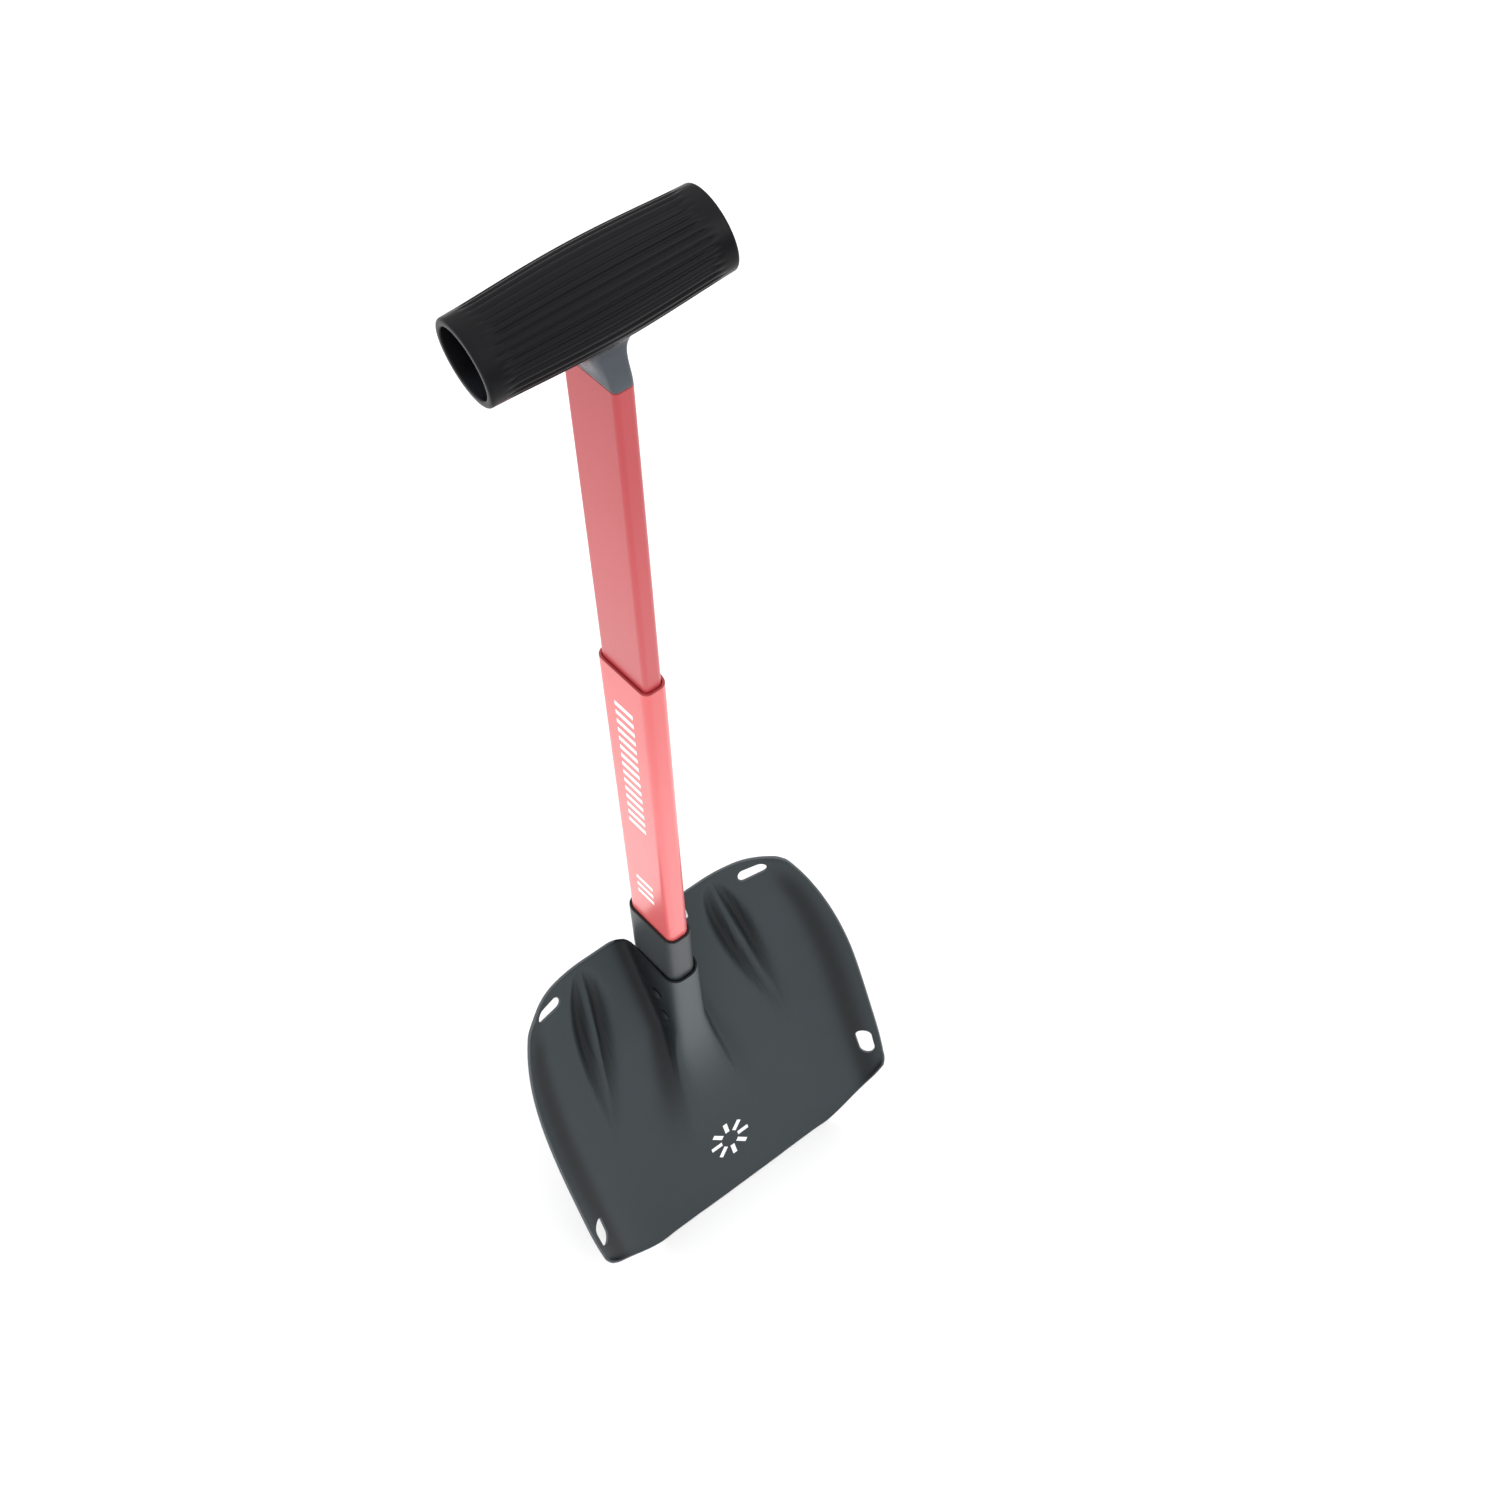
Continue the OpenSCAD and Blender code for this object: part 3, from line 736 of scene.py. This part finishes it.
def buildBlade():
    net, faces = mirrored(*halfNet())
    col = net[:, 0]
    row = net[:, 1]
    front = bladeSpot(col, row)
    normal = bladeNormal(col, row)
    # the back has a softer crest, so that it never folds over itself
    soft = blade["backSoft"]
    back = bladeSpot(col, row, soft) - bladeNormal(col, row, soft) * blade["sheet"] * mm
    r = blade["sheet"] / 2 * mm
    count = len(front)
    total = 2 * count
    points = [front, back]
    allFaces = faces + [tuple(k + count for k in reversed(f)) for f in faces]
    for loop in borderLoops(faces):  # every cut edge is rounded over half the sheet's thickness
        spot = front[loop].copy()
        n = normal[loop]
        out = np.cross(np.roll(spot, -1, axis=0) - np.roll(spot, 1, axis=0), n)
        out /= np.linalg.norm(out, axis=1, keepdims=True)
        core = spot - out * r - n * r
        front[loop] = core + n * r
        back[loop] = core - n * r
        rings = [loop]
        for k in range(1, blade["rimSteps"]):
            turn = math.pi * k / blade["rimSteps"]
            points.append(core + r * (math.sin(turn) * out + math.cos(turn) * n))
            rings.append(list(range(total, total + len(loop))))
            total += len(loop)
        rings.append([k + count for k in loop])
        for a, b in zip(rings, rings[1:]):
            for k in range(len(loop)):
                ahead = (k + 1) % len(loop)
                allFaces.append((a[ahead], a[k], b[k], b[ahead]))
    points = np.concatenate(points)
    piece = meshFrom("bladeSheet", points, allFaces)
    piece.data.shade_smooth()
    paintShares(piece, points, 2 * count)
    return piece


bladePiece = buildBlade()
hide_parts("blade")
putOn(bladePiece, bladeMat, "blade_head")
print("blade done", len(bladePiece.data.polygons))


grip = {"length": 112, "long": 18.7, "short": 15.0, "lean": math.radians(27), "wall": 3.4, "swell": 2.0,
        "back": 2.0, "grooves": 32, "grooveDeep": 0.8, "around": 400, "along": 72,
        "rimOut": 1.3, "rimIn": 0.7, "neckAround": 96, "neckAlong": 30,
        "neckReach": 32.0, "neckDeep": 15.5, "neckUp": 1.05, "neckOut": 1.35}


def swellAt(x):
    return grip["swell"] * np.cos(np.pi * np.clip(x / grip["length"], -0.5, 0.5)) ** 1.4


def barrelRadii(x, inset=0.0):
    return grip["long"] + swellAt(x) - inset, grip["short"] + swellAt(x) - inset


def barrelSpot(x, turn, inset=0.0):
    p, q = barrelRadii(x, inset)
    p = p * np.cos(turn)
    q = q * np.sin(turn)
    cos = math.cos(grip["lean"])
    sin = math.sin(grip["lean"])
    return np.stack([x * mm, shaftY + (grip["back"] + p * cos - q * sin) * mm,
                     barrelHeight + (p * sin + q * cos) * mm], -1)


def grooveDepth(x, turn):
    wave = np.abs(np.cos(turn * grip["grooves"] / 2)) ** 4
    ends = 1 - ease(0.37, 0.45, np.abs(x) / grip["length"])
    spot = barrelSpot(x, turn)
    neckFar = np.sqrt((x / 30) ** 2 + ((spot[..., 1] - shaftY) / mm / 17) ** 2)
    clear = np.where(spot[..., 2] < barrelHeight, ease(0.85, 1.15, neckFar), 1)
    return grip["grooveDeep"] * wave * ends * clear


def barrelRings():
    # (place along the barrel, inset from its skin) round one half of the wall, outside to bore
    half = grip["length"] / 2
    arc = np.radians(np.linspace(0, 90, 5))
    rimOut = [(half - grip["rimOut"] * (1 - math.sin(t)), grip["rimOut"] * (1 - math.cos(t)))
              for t in arc[1:]]
    rimIn = [(half - grip["rimIn"] * (1 - math.sin(t)), grip["wall"] - grip["rimIn"] * (1 - math.cos(t)))
             for t in arc[::-1]]
    body = [(x, 0.0) for x in np.linspace(-half + grip["rimOut"], half - grip["rimOut"], grip["along"] + 1)]
    bore = [(x, grip["wall"]) for x in np.linspace(half - grip["rimIn"], -half + grip["rimIn"], 13)[1:]]
    leftIn = [(-x, inset) for x, inset in reversed(rimIn[:-1])]
    leftOut = [(-x, inset) for x, inset in reversed(rimOut)]
    return body + rimOut + rimIn + bore + leftIn + leftOut


def buildBarrel():
    turns = np.linspace(0, 2 * math.pi, grip["around"], endpoint=False)
    points = []
    rings = barrelRings()
    for i, (x, inset) in enumerate(rings):
        place = np.full(len(turns), x)
        if inset >= grip["wall"] - grip["rimIn"]:
            inset = inset + swellAt(x)  # the bore is straight
        depth = inset + (grooveDepth(place, turns) if i <= grip["along"] else 0)
        points.append(barrelSpot(place, turns, depth))
    return np.concatenate(points), gridFaces(len(rings), len(turns), True)


def sectionEven(count, r):
    # the tube's section with points spaced evenly
    ring = np.array(sectionRing(r) + sectionRing(r)[:1])
    length = np.concatenate([[0], np.cumsum(np.linalg.norm(np.diff(ring, axis=0), axis=1))])
    at = np.linspace(0, length[-1], count, endpoint=False)
    return np.stack([np.interp(at, length, ring[:, 0]), np.interp(at, length, ring[:, 1])], -1)


def underside(x, y):
    # the barrel's lower surface at (x, y), in mm
    p, q = barrelRadii(np.array(x))
    cos = math.cos(grip["lean"])
    sin = math.sin(grip["lean"])
    away = y - grip["back"]
    a = (sin / p) ** 2 + (cos / q) ** 2
    b = 2 * away * cos * sin * (1 / p ** 2 - 1 / q ** 2)
    c = (away * cos / p) ** 2 + (away * sin / q) ** 2 - 1
    return np.array([x, y, barrelHeight / mm + (-b - math.sqrt(max(b * b - 4 * a * c, 0))) / (2 * a)])


def buildNeck():
    # from the end of the tube up to the barrel, meeting both without a crease
    count = grip["neckAround"]
    foot = sectionEven(count, tube["corner"])
    pad = []
    lean = []
    for angle in np.arctan2(foot[:, 1] - grip["back"], foot[:, 0]):
        x = grip["neckReach"] * math.cos(angle)
        y = grip["neckDeep"] * math.sin(angle)
        spot = underside(x, grip["back"] + y)
        reach = math.hypot(x, y) / 0.4
        step = underside(x + x / reach, grip["back"] + y + y / reach) - spot
        pad.append(spot)
        lean.append(step / np.linalg.norm(step))
    pad = np.array(pad)
    lean = np.array(lean)

    def level(r):
        return np.column_stack([sectionEven(count, r), np.full(count, neckFoot / mm)])

    up = np.array([0, 0, 1.0])
    base = level(tube["corner"])
    gap = np.linalg.norm(pad - base, axis=1)[:, None]
    rings = [level(1.2), level(2.6)]
    for t in np.linspace(0, 1, grip["neckAlong"] + 1):
        ring = ((1 + 2 * t) * (1 - t) ** 2 * base + t * (1 - t) ** 2 * up * gap * grip["neckUp"]
                + t * t * (3 - 2 * t) * pad - t * t * (1 - t) * lean * gap * grip["neckOut"])
        rings.append(ring + up * 0.3 if t == 0 else ring)
    rings.append(pad + lean * 1.2 + up * 0.5)  # just under the barrel's skin
    points = np.concatenate(rings) * mm
    points[:, 1] += shaftY
    return points, gridFaces(len(rings), count, False)


def buildGrip():
    barrelPoints, barrelFaces = buildBarrel()
    neckPoints, neckFaces = buildNeck()
    shift = len(barrelPoints)
    piece = meshFrom("gripMoulding", np.concatenate([barrelPoints, neckPoints]),
                     barrelFaces + [tuple(k + shift for k in f) for f in neckFaces])
    facesOut(piece)
    smooth(piece, 55, False)
    return piece


gripPiece = buildGrip()
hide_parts("grip")
putOn(gripPiece, gripMat, "upper_tube")
print("grip done", len(gripPiece.data.polygons))


# node, piece, material, body, slot and edge rounding; the springs bend, so they ride on no single body
smallPieces = [("socket_rivet_%d" % i, "collarRivet%d" % i, rivetMat, "blade_head", "rivet", 0.25)
               for i in range(1, 5)]
smallPieces += [("grip_rivet_%d" % i, "gripRivet%d" % i, rivetMat, "upper_tube", "rivet", 0.2)
                for i in range(1, 3)]
smallPieces += [("lower_shaft_foot", "footPlug", nylonMat, "lower_tube", "nylon", 0.4),
                ("upper_shaft_guide", "runner", nylonMat, "upper_tube", "nylon", 0.4),
                ("blade_lock_button", "bladeButton", steelMat, "blade_lock", "steel", 0.3),
                ("length_lock_button", "lengthButton", steelMat, "length_lock", "steel", 0.3),
                ("blade_lock_spring", "bladeSpring", steelMat, None, "steel", 0.15),
                ("length_lock_spring", "lengthSpring", steelMat, None, "steel", 0.15)]
for node, name, mat, body, slot, width in smallPieces:
    putOn(fromNode(node, name, width * mm), mat, body)

# leg thickness, how fast the bend fades in across the spring (per mm), and each spring's bend and leg
spring = {"leg": 0.8, "fade": 0.118,
          "bladeSpring": ("lower_tube", "blade_lock", bladeLockZ - 36 * mm, 34),
          "lengthSpring": ("upper_tube", "length_lock", lengthLockZ + 28 * mm, -26)}


def bendWithButton(name):
    # the leg behind the button goes in with it, and the bend and the other leg stay
    still, button, bendZ, leg = spring[name]
    piece = bpy.data.objects[name]
    legX = max((piece.matrix_world @ Vector(v)).x for v in piece.bound_box)
    lift = sideWay * spring["fade"] + Vector((0, 0, 1 / leg))
    start = Vector((legX - spring["leg"] * mm, shaftY - tube["buttonAhead"] * mm, bendZ))
    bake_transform(piece, still, button, start=start, end=start + lift * (mm / lift.length_squared))


bendWithButton("bladeSpring")
bendWithButton("lengthSpring")
print("small pieces done")


room = {"floor": 20.0, "zenith": 1.5, "left": 1.3, "right": 0.3, "lamp": 9, "lampSize": 1.4}
reach = room["floor"]
floor = meshFrom("floor", [(-reach, -reach, 0), (reach, -reach, 0), (reach, reach, 0), (-reach, reach, 0)],
                 [(0, 1, 2, 3)])
floor.data.materials.append(newMaterial("paleFloor", lambda spot: {
    "Base Color": spot.noise(3, 2).blend((0.93, 0.93, 0.93, 1), (0.95, 0.95, 0.95, 1)), "Roughness": 0.9}))

# soft studio: bright above, dimmer round the sides and least from the right
scene.world = bpy.data.worlds.new("studio")
scene.world.use_nodes = True
sky = scene.world.node_tree
dome = sky.nodes["Background"]
way = Wire(sky).make("ShaderNodeTexCoord", give="Generated")
sideways = way.axis("X").ramp(-0.8, 0.8, room["left"], room["right"])
glow = sideways + (room["zenith"] - sideways) * way.axis("Z").ramp(0, 0.8)
dome.inputs["Color"].default_value = (1, 1, 1, 1)
sky.links.new(glow.socket, dome.inputs["Strength"])

lamp = bpy.data.lights.new("keyLight", "AREA")
lamp.shape = "DISK"
lamp.size = room["lampSize"]
lamp.energy = room["lamp"]
lampStand = bpy.data.objects.new("keyLight", lamp)
scene.collection.objects.link(lampStand)
lampStand.location = (1.5, -1.3, 2.2)
lampStand.rotation_euler = (Vector((0, 0, 0.3)) - lampStand.location).to_track_quat("-Z", "Y").to_euler()

lens = bpy.data.cameras.new("camera")
lens.lens = 50
lens.sensor_width = 36
lens.clip_start = 0.01
lens.clip_end = 50
camera = bpy.data.objects.new("camera", lens)
scene.collection.objects.link(camera)
camera.location = (-0.27683, shaftY - 0.47181, 1.33958)
camera.rotation_euler = [math.radians(angle) for angle in (31.5672, 0.8161, -37.3001)]
scene.camera = camera
scene.view_settings.view_transform = "Standard"
print("room done")
